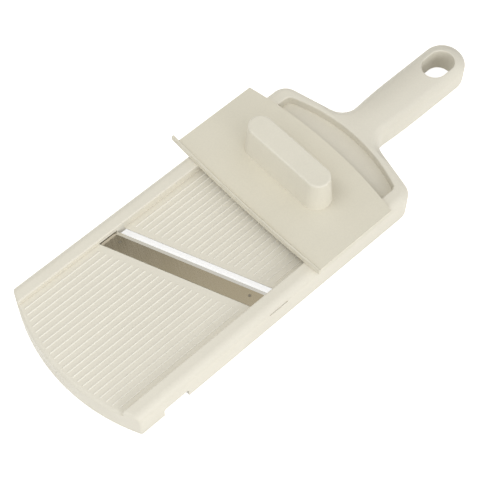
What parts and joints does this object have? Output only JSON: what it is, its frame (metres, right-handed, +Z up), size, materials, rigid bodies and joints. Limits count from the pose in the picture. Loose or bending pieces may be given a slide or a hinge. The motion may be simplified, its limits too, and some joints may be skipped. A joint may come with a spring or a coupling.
{
  "type": "mandoline slicer",
  "caption": "Flat hand-held mandoline slicer: moulded frame with ribbed beds, fixed slanted steel blade, open throat, rear handle with hanging hole, and a sliding hand guard with a grip.",
  "frame": {"origin": "on the frame's centre plane, on its standing face under the shoulders, where the slicer lies on the table", "axes": "+X across the frame to the side where the blade was slid in, +Y from the nose to the handle's tip, +Z up from the table"},
  "size_m": [0.1083, 0.2781, 0.0386],
  "materials": {
    "frame_plastic": "satin ivory moulding",
    "blade_steel": "polished, lightly brushed",
    "pin_steel": "satin",
    "guard_plastic": "satin ivory moulding",
    "knob_plastic": "satin ivory moulding",
    "screw_steel": "satin",
    "food_pin_steel": "satin"
  },
  "bodies": {
    "slicer_frame": {"frame": "frame_plastic", "blade": "blade_steel", "blade_pins": "pin_steel"},
    "hand_guard": {"guard_plate": "guard_plastic", "guard_knob": "knob_plastic", "knob_screws": "screw_steel", "food_pins": "food_pin_steel"}
  },
  "joints": [
    {"name": "guard_slide", "type": "slide", "parent": "slicer_frame", "child": "hand_guard", "axis": [0, 1, 0], "range_m": [-0.112, 0.01]}
  ]
}
